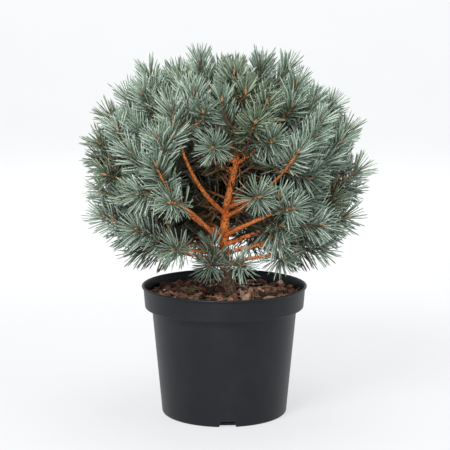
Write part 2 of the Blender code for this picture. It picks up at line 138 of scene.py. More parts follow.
# Sizes that go by how steeply a shoot ends, as the size at level and how much more it is upright: the needled
# stretch, and how far back a limb's or a side shoot's bend lies as a share of its length
NEEDLED = (0.034, 0.058)
LIMB_LEAD = (0.28, 0.28)
FORK_LEAD = (0.275, 0.275)
LIMB_RADIUS = 0.0012
LIMB_RADIUS_BY_LENGTH = 0.0100
LIMB_TAPER = 0.62
BOUGH_SHARE = 0.46
LONGEST_BOUGH = 0.74
FORK_FIRST = 0.08
FORK_STEP = 0.065
LEVEL_TILT = 38.0
TILT_BY_HEIGHT = 0.62
LEAST_BARE = 0.2
SHOOT_LAYERS = ((230, 0.030, 0.86, 0.99), (78, 0.033, 0.58, 0.74))
LOWEST_SHOOT = -42.0
MARKED_SPACING = 0.016
SEED = 11

# Each mass of needles: its bough's collar height on the trunk, then its leading shoot's azimuth and elevation
# from the crown's centre, how far out that shoot's bud stands, and its end's tilt above level, in degrees.
# Azimuth -90 is the front, 0 the right.
MASSES = {
    "leader": (0.425, -81, 65, 1.0, 86),
    "crest_left": (0.402, 160, 76, 1.06, 85),
    "crest_right": (0.392, -26, 71, 1.03, 80),
    "shoulder_left": (0.354, 180, 38, 1.0, 62),
    "shoulder_right": (0.350, -33, 49, 1.03, 74),
    "front_left_high": (0.280, -121, 36, 1.0, 74),
    "front_right_high": (0.362, -76, 29, 1.0, 38),
    "front_left": (0.249, -122, 9, 1.0, 54),
    "front_centre": (0.288, -76, -3, 1.0, 10),
    "front_right": (0.276, -57, 15, 1.0, 46),
    "front_left_low": (0.231, -115, -6, 1.0, 8),
    "front_right_low": (0.249, -60, -9, 1.0, 12),
    "left": (0.240, -174, 7, 1.01, 26),
    "left_low": (0.229, -171, -18, 1.05, 28),
    "left_skirt": (0.214, -162, -38, 1.03, 4),
    "front_left_skirt": (0.220, -120, -32, 1.0, 6),
    "foot": (0.203, -112, -62, 0.98, 6),
    "right": (0.236, -5, 2, 1.04, 44),
    "right_low": (0.225, -14, -18, 1.03, 26),
    "right_skirt": (0.210, -17, -36, 1.06, 5),
    "back_right_skirt": (0.222, 45, -30, 1.05, 14),
    "back_left_skirt": (0.218, 122, -30, 1.05, 14),
    "back_right": (0.247, 34, 8, 1.0, 44),
    "back": (0.258, 84, 4, 1.02, 36),
    "back_left": (0.250, 134, 8, 1.0, 44),
    "back_right_high": (0.290, 40, 38, 1.0, 62),
    "back_high": (0.322, 92, 42, 1.0, 64),
    "back_left_high": (0.341, 138, 36, 1.0, 62),
}

# The other shoots that stand out, as azimuth, elevation, how far out, and tilt
MARKED_SHOOTS = (
    (176, 52, 1.06, 75), (171, 63, 0.96, 80), (-156, 43, 1.0, 66), (-102, 34, 1.0, 44), (-155, 23, 1.0, 64),
    (-123, 21, 1.0, 46), (-96, 18, 1.0, 10), (-176, 14, 1.03, 45), (6, 60, 1.05, 72), (-65, 41, 0.97, 58),
    (0, 33, 1.0, 56), (-68, 21, 0.97, 22), (-3, 20, 1.0, 52), (-48, 4, 0.95, 22), (-74, -55, 0.98, 6),
    (-47, -43, 1.0, 10), (-132, -4, 0.98, 14), (-158, 2, 1.0, 20), (-39, -19, 1.0, 16), (-13, -29, 0.98, 12),
    (-176, -7, 1.0, 16), (-167, -29, 1.0, 10), (168, -18, 1.02, 24), (2, -8, 0.98, 30), (4, -27, 0.98, 14),
    (-140, -22, 1.0, 12), (178, 26, 1.03, 52), (-170, 50, 0.96, 70), (112, 20, 0.78, 50), (64, 20, 0.78, 50),
    (62, 0, 0.76, 36), (118, 2, 0.76, 36), (90, -14, 0.74, 24),
)  # fmt: skip

# The space in front of the trunk that stays open, but for the shoots named above, as two corners
OPENING = (Vector((-0.068, -0.20, 0.18)), Vector((0.048, -0.01, 0.372)))

# Needles, in pairs
NEEDLE = 0.031
NEEDLE_WIDTH = 0.00175
NEEDLE_DEPTH = 0.0009
NEEDLE_RINGS = (0.0, 0.45, 0.88)
NEEDLE_SWELL = (0.75, 1.0, 0.90)
TIP_PAIRS = 6
OLD_PAIRS_PER_METRE = 1000
OLD_FROM = 0.1
BACK_OLD_FROM = 0.2
OLD_LEAN = 68.0
STRAW_SHARE = 0.12
DEAD_STRAW_SHARE = 0.4
# The young needles of a shoot, as the value at level and how much more it is upright: pairs a metre, then how far
# they lean off the shoot at their foot and at its end
PAIRS_PER_METRE = (920.0, -20.0)
LEAN_FOOT = (72.0, -22.0)
LEAN_END = (47.0, -20.0)
LEAN_TIP = 26.0
LEAN_SPREAD = 4.5
PAIR_SPREAD = 8.0
GOLDEN_ANGLE = math.pi * (3 - math.sqrt(5))
SPUR_LENGTHS = (0.024, 0.040)
# How many spurs a shoot may bear, at the front and at the back, and where the back begins
SPURS = (0, 0, 1, 1)
BACK_SPURS = (2, 3, 3, 4)
BACK_FROM = -0.02
BACK_SPUR_FROM = 0.15
DEAD_TWIGS = 22
DEAD_TWIG_HEIGHTS = (0.242, 0.395)
DEAD_TWIG_LENGTHS = (0.034, 0.075)
DEAD_TWIG_TURN = 118.0
DEAD_PAIRS_PER_METRE = 420
# Shoots that end within this share of the crown's reach from its centre get the old needles' dark colour: painted
# shade for the crown's inside, with older, duller needles there too
SHADE = 0.66
BUD_LENGTH = 0.011
BUD_RADIUS = 0.0027
MASSES_A_PIECE = 4

# Plain needle colours, dealt out by shoot, with the share of shoots that get each, and the steepest rise of a shoot
# that counts as level. Level shoots at the front all get the pale tint, as painted light where the light falls on
# them.
LEVEL_RISE = 0.33
NEEDLE_TINTS = {
    "mid_blue": ((0.275, 0.405, 0.285), 0.34),
    "pale_blue": ((0.405, 0.545, 0.415), 0.26),
    "deep_blue": ((0.170, 0.270, 0.180), 0.20),
    "grey_green": ((0.225, 0.315, 0.180), 0.20),
}
GREEN_SIDE = 0.56
WAX_BLOOM = 0.20
# Colour of old and dead needles, dull olive. It is made dark enough to be painted shade too, where it is dealt to
# shoots inside the crown and to needles at young shoots' feet
OLD_AND_SHADED_NEEDLE = (0.045, 0.050, 0.020)
STRAW = (0.42, 0.30, 0.15)


class Wire:
    """A shader socket that can stand in a Python expression."""

    def __init__(self, finish, socket):
        self.finish = finish
        self.socket = socket

    def math(self, operation, first, second):
        return self.finish.node("ShaderNodeMath", {"operation": operation}, {0: first, 1: second})

    def __add__(self, other):
        return self.math("ADD", self, other)

    def __sub__(self, other):
        return self.math("SUBTRACT", self, other)

    def __rsub__(self, other):
        return self.math("SUBTRACT", other, self)

    def __mul__(self, other):
        return self.math("MULTIPLY", self, other)

    def __pow__(self, other):
        return self.math("POWER", self, other)

    __radd__ = __add__
    __rmul__ = __mul__


class Finish:
    """A material whose nodes come from Python expressions. Numbers the same all over go on the shader's own socket."""

    def __init__(self, name, **plain):
        self.material = bpy.data.materials.new(name)
        self.material.use_nodes = True
        self.tree = self.material.node_tree
        self.shader = self.tree.nodes["Principled BSDF"]
        for socket, value in plain.items():
            self.shader.inputs[socket.replace("_", " ").title().replace("Ior", "IOR")].default_value = value

    def node(self, kind, settings, inputs, output=0):
        made = self.tree.nodes.new(kind)
        for name, value in settings.items():
            setattr(made, name, value)
        for key, value in inputs.items():
            if isinstance(value, Wire):
                self.tree.links.new(value.socket, made.inputs[key])
            else:
                made.inputs[key].default_value = value
        return Wire(self, made.outputs[output])

    def place(self):
        """The point on the surface, in metres."""
        return self.node("ShaderNodeTexCoord", {}, {}, "Object")

    def stretched(self, x, y, z):
        """The point on the surface, with each axis scaled."""
        return self.node("ShaderNodeMapping", {}, {"Vector": self.place(), "Scale": (x, y, z)})

    def grain(self, scale, detail=3.0, roughness=0.5, place=None):
        """Soft noise from 0 to 1, with about scale features a metre."""
        sockets = {"Vector": place or self.place(), "Scale": scale, "Detail": detail, "Roughness": roughness}
        return self.node("ShaderNodeTexNoise", {}, sockets)

    def cells(self, scale, place=None):
        """The distance to the nearest of scattered cell middles."""
        return self.node("ShaderNodeTexVoronoi", {}, {"Vector": place or self.place(), "Scale": scale})

    def edge(self, value, low, high):
        """0 below low, 1 above high, and a smooth step between."""
        settings = {"interpolation_type": "SMOOTHSTEP"}
        return self.node("ShaderNodeMapRange", settings, {"Value": value, "From Min": low, "From Max": high})

    def height(self):
        """The height above the floor, in metres."""
        return self.node("ShaderNodeSeparateXYZ", {}, {"Vector": self.place()}, "Z")

    def mix(self, mask, first, second):
        """The first colour where the mask is 0 and the second where it is 1."""
        first = first if isinstance(first, Wire) else (*first, 1.0)
        second = second if isinstance(second, Wire) else (*second, 1.0)
        return self.node("ShaderNodeMix", {"data_type": "RGBA"}, {0: mask, 6: first, 7: second}, 2)

    def wear(self, socket, value):
        self.tree.links.new(value.socket, self.shader.inputs[socket])
        return self

    def bump(self, value, depth):
        """Relief of the given depth in metres where the value runs from 0 to 1."""
        raised = self.node("ShaderNodeBump", {}, {"Height": value, "Distance": depth, "Strength": 1.0}, "Normal")
        return self.wear("Normal", raised)


def needle_finish(name, colour, bloom):
    """Waxy needle skin. Bloom lifts it towards the pale wax bands of the flat side."""
    finish = Finish(name, roughness=0.42, specular_ior_level=0.45)
    lit = tuple(channel + (1 - channel) * bloom for channel in colour)
    dull = tuple(channel * 0.78 for channel in lit)
    return finish.wear("Base Color", finish.mix(finish.grain(900, 2.0), dull, lit)).material


def straw_finish():
    finish = Finish("straw", roughness=0.6)
    dark = tuple(channel * 0.55 for channel in STRAW)
    return finish.wear("Base Color", finish.mix(finish.grain(700), dark, STRAW)).material


def dry_straw_finish():
    finish = Finish("dry_grass", roughness=0.55)
    return finish.wear("Base Color", finish.mix(finish.grain(500), (0.40, 0.23, 0.09), (0.66, 0.45, 0.22))).material


def bud_finish():
    finish = Finish("bud_scales", roughness=0.5)
    scales = finish.edge(finish.cells(1500), 0.1, 0.6)
    finish.wear("Base Color", finish.mix(scales, (0.80, 0.54, 0.31), (0.46, 0.22, 0.09)))
    return finish.bump(1 - scales, 0.0003).material


def bark_colours(finish):
    """Orange bark: paler and deeper patches, thin pale flake edges and small brown specks."""
    patches = finish.edge(finish.grain(120, 4.0), 0.35, 0.65)
    orange = finish.mix(patches, (0.74, 0.170, 0.030), (0.95, 0.310, 0.070))
    pale = finish.edge(finish.grain(420, 3.0, 0.6), 0.62, 0.72) * 0.45
    orange = finish.mix(pale, orange, (0.90, 0.55, 0.30))
    specks = finish.edge(finish.grain(800, 2.0, 0.55), 0.60, 0.68) * 0.7
    return finish.mix(specks, orange, (0.20, 0.075, 0.03))


def scale_finish():
    finish = Finish("bark_scales", roughness=0.8)
    return finish.wear("Base Color", finish.mix(finish.grain(600), (0.040, 0.020, 0.013), (0.150, 0.065, 0.035))).material


def trunk_finish():
    finish = Finish("trunk_bark", roughness=0.78)
    orange = bark_colours(finish)
    rough = finish.grain(260, 5.0, 0.6)
    grey = finish.mix(finish.edge(rough, 0.35, 0.65), (0.075, 0.045, 0.030), (0.24, 0.150, 0.100))
    up = finish.height() + finish.grain(150, 3.0) * 0.030
    old = 1 - finish.edge(up, OLD_BARK_TOP, OLD_BARK_TOP + 0.028)
    finish.wear("Base Color", finish.mix(old, orange, grey))
    return finish.bump(finish.grain(650, 4.0, 0.65), 0.0007).material


def bough_finish():
    finish = Finish("bough_bark", roughness=0.72)
    finish.wear("Base Color", bark_colours(finish))
    return finish.bump(finish.grain(800, 4.0, 0.6), 0.0005).material


def twig_finish():
    finish = Finish("twig_bark", roughness=0.7)
    scales = finish.edge(finish.cells(750), 0.15, 0.7)
    tan = finish.mix(finish.grain(240), (0.36, 0.155, 0.055), (0.50, 0.25, 0.095))
    finish.wear("Base Color", finish.mix(scales * 0.7, tan, (0.16, 0.075, 0.035)))
    return finish.bump(1 - scales, 0.0004).material


def pot_finish():
    """Black moulded plastic: a fine pebble, faint flow marks round the wall and dusty scuffs."""
    finish = Finish("pot_plastic", specular_ior_level=0.30, specular_tint=(0.86, 0.91, 1.0, 1.0))
    dust = finish.edge(finish.grain(26, 5.0, 0.6), 0.45, 0.75)
    finish.wear("Base Color", finish.mix(dust, (0.0060, 0.0062, 0.0078), (0.0095, 0.0097, 0.0118)))
    streaks = finish.grain(60, 3.0, 0.5, finish.stretched(1.0, 1.0, 0.15))
    finish.wear("Roughness", 0.36 + streaks * 0.10 + dust * 0.06)
    return finish.bump(finish.grain(1500, 2.0), 0.00008).material


def chip_finish(name, dark, light):
    finish = Finish(name, roughness=0.85)
    fibres = finish.grain(330, 4.0, 0.65)
    finish.wear("Base Color", finish.mix(finish.edge(fibres, 0.32, 0.70), dark, light))
    return finish.bump(fibres, 0.0008).material


def grain_finish():
    finish = Finish("white_grains", roughness=0.6)
    return finish.wear("Base Color", finish.mix(finish.grain(900), (0.72, 0.70, 0.64), (0.86, 0.85, 0.80))).material


def floor_finish():
    """A pale floor lit a little from within, as a studio table is, so that shadows stay faint."""
    finish = Finish("floor", roughness=0.65, specular_ior_level=0.2, emission_strength=0.645)
    finish.shader.inputs["Emission Color"].default_value = (0.985, 0.99, 1.0, 1.0)
    return finish.wear("Base Color", finish.mix(finish.grain(3.0), (0.185, 0.187, 0.190), (0.205, 0.207, 0.210))).material


def heading(azimuth, elevation):
    a, e = math.radians(azimuth), math.radians(elevation)
    return Vector((math.cos(e) * math.cos(a), math.cos(e) * math.sin(a), math.sin(e)))


def reach(direction):
    """How far the buds stand from the crown's centre: a globe, flatter below and squarer than an ellipse."""
    flat = math.hypot(direction.x, direction.y) / CROWN_HALF_WIDTH
    tall = abs(direction.z) / (CROWN_RISE if direction.z > 0 else CROWN_DROP)
    return (flat**ROUNDNESS + tall**ROUNDNESS) ** (-1 / ROUNDNESS)


def bud_at(azimuth, elevation, stand):
    way = heading(azimuth, elevation)
    return CROWN_CENTRE + way * (reach(way) * stand)


def trunk_at(z):
    """The trunk's centre at a height."""
    for (x0, y0, z0, _), (x1, y1, z1, _) in zip(TRUNK_LINE, TRUNK_LINE[1:]):
        if z <= z1 or z1 == TRUNK_LINE[-1][2]:
            t = (z - z0) / (z1 - z0)
            return Vector((x0 + t * (x1 - x0), y0 + t * (y1 - y0), z))


def sites():
    """The middle of each mass's space."""
    return {name: CROWN_CENTRE + heading(row[1], row[2]) * SITE_RADIUS for name, row in MASSES.items()}


def inside_cell(point, name, all_sites, margin):
    """Whether a point is nearer to the mass's own site than to any other, with a margin to each border."""
    own = all_sites[name]
    for other, site in all_sites.items():
        if other != name and (point - (own + site) / 2).dot((own - site).normalized()) < margin:
            return False
    return True


def curve_point(start, bend, end, t):
    """The point at share t of a limb's curve."""
    return start * (1 - t) ** 2 + bend * (2 * t * (1 - t)) + end * t**2


def limb_radius(curve, t):
    """A limb's radius at share t of its length."""
    return (LIMB_RADIUS + LIMB_RADIUS_BY_LENGTH * (curve[2] - curve[0]).length) * (1 - LIMB_TAPER * t)


def tilt_at(elevation):
    """How far a shoot's end rises above level: the lower the shoot, the less."""
    return LEVEL_TILT + TILT_BY_HEIGHT * elevation


def by_tilt(size, tilt):
    """A size at a tilt, from its value at level and how much more it is upright."""
    return size[0] + size[1] * tilt / 90


def curve_to(start, head, lead):
    """The curve of a limb or twig that ends on its shoot's azimuth and tilt, and the share of it that is bare."""
    bud, azimuth, tilt = head
    whole = (bud - start).length
    bend = bud - heading(azimuth, tilt) * (by_tilt(lead, tilt) * whole)
    return (start, bend, bud), max(LEAST_BARE, 1 - by_tilt(NEEDLED, tilt) / whole)


def all_heads(all_sites):
    """Each mass's shoots as {name: [(bud, azimuth, tilt)]}: its leader, the marked shoots, then shoots spread
    evenly over the crown and, last, inside it. The even ones leave the trunk in sight at the front."""
    rng = random.Random(SEED)
    heads = {name: [(bud_at(*row[1:4]), row[1], row[4])] for name, row in MASSES.items()}

    def place(bud, azimuth, tilt, spacing, margin):
        if any((bud - other[0]).length < spacing for group in heads.values() for other in group):
            return
        for name in MASSES:
            if inside_cell(bud, name, all_sites, margin):
                heads[name].append((bud, azimuth, tilt))

    for azimuth, elevation, stand, tilt in MARKED_SHOOTS:
        place(bud_at(azimuth, elevation, stand), azimuth, tilt, MARKED_SPACING, CELL_MARGIN)
    for count, spacing, nearest, furthest in SHOOT_LAYERS:
        for n in range(count):
            elevation = math.degrees(math.asin(1 - 2 * (n + 0.5) / count))
            azimuth = math.degrees(n * math.pi * (3 - math.sqrt(5))) + rng.uniform(-5, 5)
            bud = bud_at(azimuth, elevation, rng.uniform(nearest, furthest))
            in_sight = all(low < part < high for low, part, high in zip(OPENING[0], bud, OPENING[1]))
            if elevation > LOWEST_SHOOT and not in_sight:
                place(bud, azimuth, tilt_at(elevation), spacing, BUD_MARGIN)
    return heads


def grow_crown():
    """Each mass as its leading curve, the shares of it that are bough and bare, and its side shoots, each a curve
    and its bare share: {name: (curve, share, bare, shoots)}. The shoots furthest off the bough's line leave it
    first."""
    all_sites = sites()
    heads = all_heads(all_sites)
    crown = {}
    for name, row in MASSES.items():
        curve, bare = curve_to(trunk_at(row[0]), heads[name][0], LIMB_LEAD)
        share = BOUGH_SHARE
        while share < LONGEST_BOUGH:
            if inside_cell(curve_point(*curve, share), name, all_sites, BUD_MARGIN):
                break
            share += 0.02
        stem = curve_point(*curve, share)
        onward = curve[2] - stem
        shoots = []
        for n, head in enumerate(sorted(heads[name][1:], key=lambda head: -onward.angle(head[0] - stem))):
            fork = curve_point(*curve, share + (1 - share) * (FORK_FIRST + FORK_STEP * n))
            shoots.append(curve_to(fork, head, FORK_LEAD))
        crown[name] = (curve, share, max(share, bare), shoots)
    return crown


def grow_spurs(curve, first, counts, rng):
    """Short finer twigs that stand off a shoot before its end, inside the crown's reach."""
    start, bend, end = curve
    spurs = []
    count = rng.choice(counts)
    for n in range(count):
        t = first + (0.75 - first) * (n + rng.uniform(0.2, 0.8)) / count
        foot = curve_point(*curve, t)
        along = (curve_point(*curve, t + 0.05) - foot).normalized()
        turn = Matrix.Rotation(n * GOLDEN_ANGLE + rng.uniform(0, 6.28), 3, along)
        out = turn @ along.orthogonal().normalized()
        way = (along + out * 0.65 + Vector((0, 0, 0.25))).normalized()
        tip = foot + way * rng.uniform(*SPUR_LENGTHS)
        off = tip - CROWN_CENTRE
        if off.length < 0.94 * reach(off.normalized()) and tip.z > NEEDLE_FLOOR + 0.015:
            spurs.append((foot, foot + along * 0.3 * (tip - foot).length, tip))
    return spurs


class Wood:
    """Gathers tubes, as one mesh of quads and end caps."""

    def __init__(self):
        self.points, self.quads, self.caps = [], [], []
        self.count = 0

    def add(self, line, radii, sides, relief=None):
        line = np.asarray(line, float)
        rings = len(line)
        along = np.gradient(line, axis=0)
        along /= np.linalg.norm(along, axis=1)[:, None]
        side = np.cross(along[0], (0.31, 0.87, 0.38))
        side /= np.linalg.norm(side)
        angles = np.arange(sides) * 2 * math.pi / sides
        travelled = 0.0
        for k in range(rings):
            side = side - along[k] * side.dot(along[k])
            side /= np.linalg.norm(side)
            other = np.cross(along[k], side)
            out = np.cos(angles)[:, None] * side + np.sin(angles)[:, None] * other
            radius = np.full(sides, radii[k])
            if k:
                travelled += np.linalg.norm(line[k] - line[k - 1])
            if relief:
                radius = radius + relief(line[k] + out * radii[k], angles, travelled, radii[k])
            self.points.append(line[k] + out * radius[:, None])
        ring = np.arange(sides)
        nxt = (ring + 1) % sides
        for k in range(rings - 1):
            low = self.count + k * sides
            high = low + sides
            self.quads.append(np.stack([low + ring, low + nxt, high + nxt, high + ring], 1))
        self.caps.append(tuple(int(self.count + i) for i in reversed(ring)))
        self.caps.append(tuple(int(self.count + (rings - 1) * sides + i) for i in ring))
        self.count += rings * sides

    def make(self, name, finish):
        mesh = bpy.data.meshes.new(name)
        faces = np.concatenate(self.quads).tolist() + self.caps
        mesh.from_pydata(np.concatenate(self.points).tolist(), [], faces)
        mesh.update()
        mesh.shade_smooth()
        return link(name, mesh, finish)


def link(name, mesh, *finishes):
    piece = bpy.data.objects.new(name, mesh)
    bpy.context.scene.collection.objects.link(piece)
    for finish in finishes:
        mesh.materials.append(finish)
    return piece


def triangle_mesh(name, points, triangles, kinds, finishes, smooth=True):
    """A mesh from arrays of points and triangles, with the number of each triangle's finish."""
    mesh = bpy.data.meshes.new(name)
    mesh.vertices.add(len(points))
    mesh.vertices.foreach_set("co", np.ascontiguousarray(points, np.float32).ravel())
    mesh.loops.add(triangles.size)
    mesh.loops.foreach_set("vertex_index", np.ascontiguousarray(triangles, np.int32).ravel())
    mesh.polygons.add(len(triangles))
    mesh.polygons.foreach_set("loop_start", np.arange(0, triangles.size, 3, dtype=np.int32))
    piece = link(name, mesh, *finishes)
    mesh.polygons.foreach_set("material_index", np.ascontiguousarray(kinds, np.int32))
    mesh.update(calc_edges=True)
    mesh.validate()
    if smooth:
        mesh.shade_smooth()
    return piece


def smooth_trunk(step):
    """The trunk's centre line and radii, read from a smooth curve through TRUNK_LINE."""
    rows = np.array(TRUNK_LINE)
    rows = np.vstack([2 * rows[0] - rows[1], rows, 2 * rows[-1] - rows[-2]])
    line = []
    for k in range(1, len(rows) - 2):
        a, b, c, d = rows[k - 1 : k + 3]
        count = max(2, int(np.linalg.norm(c[:3] - b[:3]) / step))
        for t in np.arange(count) / count:
            line.append(0.5 * (2 * b + (c - a) * t + (2 * a - 5 * b + 4 * c - d) * t**2 + (3 * b - a - 3 * c + d) * t**3))
    line.append(rows[-2])
    line = np.array(line)
    return line[:, :3], line[:, 3]


def bark_relief(depth, scale):
    """Relief for a limb: flakes from noise, and low spiral rows of scale-leaf scars."""

    def relief(points, angles, travelled, radius):
        flakes = np.array([noise.fractal(Vector(p) * scale, 0.8, 2.2, 3) for p in points])
        rows = np.cos(angles * 5 + travelled * 900) * np.cos(angles * 3 - travelled * 700)
        return depth * (0.9 * flakes + 0.30 * np.clip(rows, 0, 1))

    return relief


def make_trunk():
    wood = Wood()
    line, radii = smooth_trunk(0.0011)
    bark = bark_relief(0.0007, 330)

    def relief(points, angles, travelled, radius):
        fade = max(0.0, 1 - travelled / (FLARE_HEIGHT + 0.006))
        lobes = FLARE_DEPTH * fade * radius * np.cos(FLARE_LOBES * angles + 0.6)
        rough = 1 + 1.2 * max(0.0, 1 - travelled / 0.07)
        return lobes + rough * bark(points, angles, travelled, radius)

    wood.add(line, radii, 56, relief)
    piece = wood.make("trunk_bark", trunk_finish())
    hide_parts("trunk")
    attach(piece, "root")


def make_boughs(crown):
    """The boughs and the stems that they run on into, swollen at their collars."""
    wood = Wood()
    relief = bark_relief(0.00030, 450)
    for curve, _, _, _ in crown.values():
        whole = (curve[2] - curve[0]).length
        count = int(whole / 0.0016)
        shares = np.linspace(0, 1, count)
        line = [curve_point(*curve, t) for t in shares]
        radii = [limb_radius(curve, t) * (1 + 0.20 * math.exp(-t * whole / 0.006)) for t in shares]
        wood.add(line, radii, 16, relief)
    piece = wood.make("bough_bark", bough_finish())
    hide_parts(*("bough_" + name for name in crown if name != "leader"))
    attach(piece, "root")


def scale_rows(line, radii, spacing, first, rng):
    """Small bark scales round a limb in a spiral, as (point, along, out, size)."""
    rows = []
    travelled = 0.0
    turn = rng.uniform(0, 2 * math.pi)
    for a, b, radius in zip(line, line[1:], radii):
        a, b = Vector(a), Vector(b)
        travelled += (b - a).length
        while travelled > spacing:
            travelled -= spacing
            turn += GOLDEN_ANGLE
            along = (b - a).normalized()
            side = along.cross(Vector((0.31, 0.87, 0.38))).normalized()
            out = side * math.cos(turn) + along.cross(side) * math.sin(turn)
            point = a.lerp(b, rng.random())
            if point.z > first:
                rows.append((point + out * (radius - 0.0001), along, out, SCALE * rng.uniform(0.7, 1.25)))
    return rows


def make_scales(crown):
    """The brown scales left where needle pairs have dropped, standing a little off the orange bark."""
    rng = random.Random(SEED + 6)
    line, radii = smooth_trunk(0.004)
    rows = scale_rows(line, radii, TRUNK_SCALE_SPACING, OLD_BARK_TOP, rng)
    for curve, share, _, _ in crown.values():
        shares = np.linspace(0.03, 0.95 * share, 24)
        line = [curve_point(*curve, t) for t in shares]
        rows += scale_rows(line, [limb_radius(curve, t) for t in shares], BOUGH_SCALE_SPACING, 0.0, rng)
    points, triangles = [], []
    for point, along, out, size in rows:
        across = along.cross(out)
        base = len(points)
        for u, w, lift in SCALE_CORNERS:
            points.append(point + along * (u * size) + across * (w * size) + out * (lift * size))
        triangles += [(base + i, base + (i + 1) % 5, base + 5) for i in range(5)]
        triangles += [(base + (i + 1) % 5, base + i, base + 6) for i in range(5)]
    piece = triangle_mesh("bark_scales", np.array(points), np.array(triangles), [0] * len(triangles), [scale_finish()])
    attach(piece, "root")


def limb_segments(crown):
    """The trunk and the boughs as straight segments (foot, way, radius), for keeping needles out of them."""
    line, radii = smooth_trunk(0.02)
    feet, ways, thick = [line[:-1]], [np.diff(line, axis=0)], [radii[:-1]]
    for curve, share, _, _ in crown.values():
        shares = np.linspace(0, share, 6)
        points = np.array([curve_point(*curve, t) for t in shares])
        feet.append(points[:-1])
        ways.append(np.diff(points, axis=0))
        thick.append(np.array([limb_radius(curve, t) for t in shares[:-1]]))
    return np.concatenate(feet), np.concatenate(ways), np.concatenate(thick)


def clear_of_limbs(points, segments, room):
    feet, ways, thick = segments
    clear = np.ones(len(points), bool)
    for foot, way, radius in zip(feet, ways, thick):
        t = np.clip((points - foot) @ way / way.dot(way), 0, 1)
        gap = np.linalg.norm(points - foot - t[:, None] * way, axis=1)
        clear &= gap > radius + room
    return clear


def unit(vectors):
    return vectors / np.linalg.norm(vectors, axis=-1, keepdims=True)


def spray(curve, first, last, density, lean, rng):
    """The needles on a stretch of one shoot, as arrays of foot, way, curl, side, length and share along it. They
    stand off it in pairs round a spiral, and lean from lean[0] at its foot to lean[1] at its end."""
    start, bend, end = (np.array(p) for p in curve)
    pairs = int(np.linalg.norm(end - start) * (last - first) * density)
    u = (np.arange(pairs) + 0.5) / max(pairs, 1)
    t = first + (last - first) * u
    feet = start * (1 - t)[:, None] ** 2 + bend * (2 * t * (1 - t))[:, None] + end * t[:, None] ** 2
    along = unit((bend - start) * (1 - t)[:, None] + (end - bend) * t[:, None])
    side = unit(np.cross(along, (0.23, 0.41, 0.88)))
    other = np.cross(along, side)
    angle = np.arange(pairs) * GOLDEN_ANGLE + rng.normal(0, 0.25, pairs)
    out = side * np.cos(angle)[:, None] + other * np.sin(angle)[:, None]
    round_it = np.cross(along, out)
    leans = np.radians(lean[0] + (lean[1] - lean[0]) * u**1.4 + rng.normal(0, LEAN_SPREAD, pairs))
    lengths = NEEDLE * (0.92 + 0.10 * np.sin(np.pi * np.clip(u, 0, 0.9))) * rng.normal(1, 0.06, pairs)
    rows = []
    for hand in (-1, 1):
        spread = np.radians(PAIR_SPREAD) * rng.uniform(0.5, 1.3, pairs) * hand
        way = along * np.cos(leans)[:, None] + out * np.sin(leans)[:, None] + round_it * np.sin(spread)[:, None]
        way = unit(way)
        curl = along * rng.uniform(0.0, 0.07, pairs)[:, None] + round_it * rng.normal(0, 0.03, pairs)[:, None]
        curl[:, 2] += rng.uniform(-0.01, 0.04, pairs)
        flat = unit(np.cross(way, round_it * hand) + round_it * rng.normal(0, 0.35, pairs)[:, None])
        rows.append((feet + out * 0.0011, way, curl, flat, lengths * rng.normal(1, 0.03, pairs), u))
    return [np.concatenate(parts) for parts in zip(*rows)]


def sprays(curve, bare, old_share, nrng, tint, old):
    """The young needles of a shoot, the few about its bud and the old ones behind, each with its tint."""
    rise = max(0.0, math.degrees(math.asin(unit(np.array(curve[2]) - np.array(curve[1]))[2])))
    leans = (by_tilt(LEAN_FOOT, rise), by_tilt(LEAN_END, rise))
    young = spray(curve, bare, 1.0, by_tilt(PAIRS_PER_METRE, rise), leans, nrng)
    kinds = np.full(len(young[0]), tint)
    # Painted shade: some young needles at the shoot's foot take the dark old-needle colour, where the needles crowd
    kinds[(young[5] < 0.2) & (nrng.random(len(kinds)) < 0.4)] = old
    groups = [(young, kinds)]
    span = np.linalg.norm(np.array(curve[2]) - np.array(curve[0]))
    tip = spray(curve, 1 - 0.003 / span, 1.0, TIP_PAIRS / 0.003, (LEAN_TIP, LEAN_TIP), nrng)
    groups.append((tip, np.full(len(tip[0]), tint)))
    if old_share > 0:
        worn = spray(curve, bare - old_share, bare, OLD_PAIRS_PER_METRE, (OLD_LEAN, leans[0]), nrng)
        tips = worn[0] + worn[4][:, None] * worn[1]
        hidden = ~np.all((tips > OPENING[0]) & (tips < OPENING[1]), axis=1)
        kinds = np.where(nrng.random(len(tips)) < STRAW_SHARE, old + 2, old)
        groups.append(([part[hidden] for part in worn], kinds[hidden]))
    return groups


def needle_arrays(feet, ways, curls, sides, lengths):
    """Points and triangles of three-sided needles that taper to a point. Two sides are green and one is waxed."""
    count = len(feet)
    rings = len(NEEDLE_RINGS)
    sides = unit(sides - ways * np.sum(sides * ways, 1)[:, None])
    backs = np.cross(ways, sides)
    points = np.empty((count, rings * 3 + 1, 3))
    for k, (s, swell) in enumerate(zip(NEEDLE_RINGS, NEEDLE_SWELL)):
        middle = feet + lengths[:, None] * (ways * s + curls * s * s)
        points[:, 3 * k] = middle + sides * (NEEDLE_WIDTH * swell / 2)
        points[:, 3 * k + 1] = middle - sides * (NEEDLE_WIDTH * swell / 2)
        points[:, 3 * k + 2] = middle + backs * (NEEDLE_DEPTH * swell)
    points[:, -1] = feet + lengths[:, None] * (ways + curls)
    one, waxed = [(2, 1, 0)], [0]
    for k in range(rings - 1):
        for i in range(3):
            j = (i + 1) % 3
            one += [(3 * k + i, 3 * k + j, 3 * k + 3 + j), (3 * k + i, 3 * k + 3 + j, 3 * k + 3 + i)]
            waxed += [int(i == 0)] * 2
    top = 3 * (rings - 1)
    for i in range(3):
        one.append((top + i, top + (i + 1) % 3, rings * 3))
        waxed.append(int(i == 0))
    triangles = np.array(one)[None] + (np.arange(count) * (rings * 3 + 1))[:, None, None]
    return points.reshape(-1, 3), triangles.reshape(-1, 3), np.tile(waxed, count)


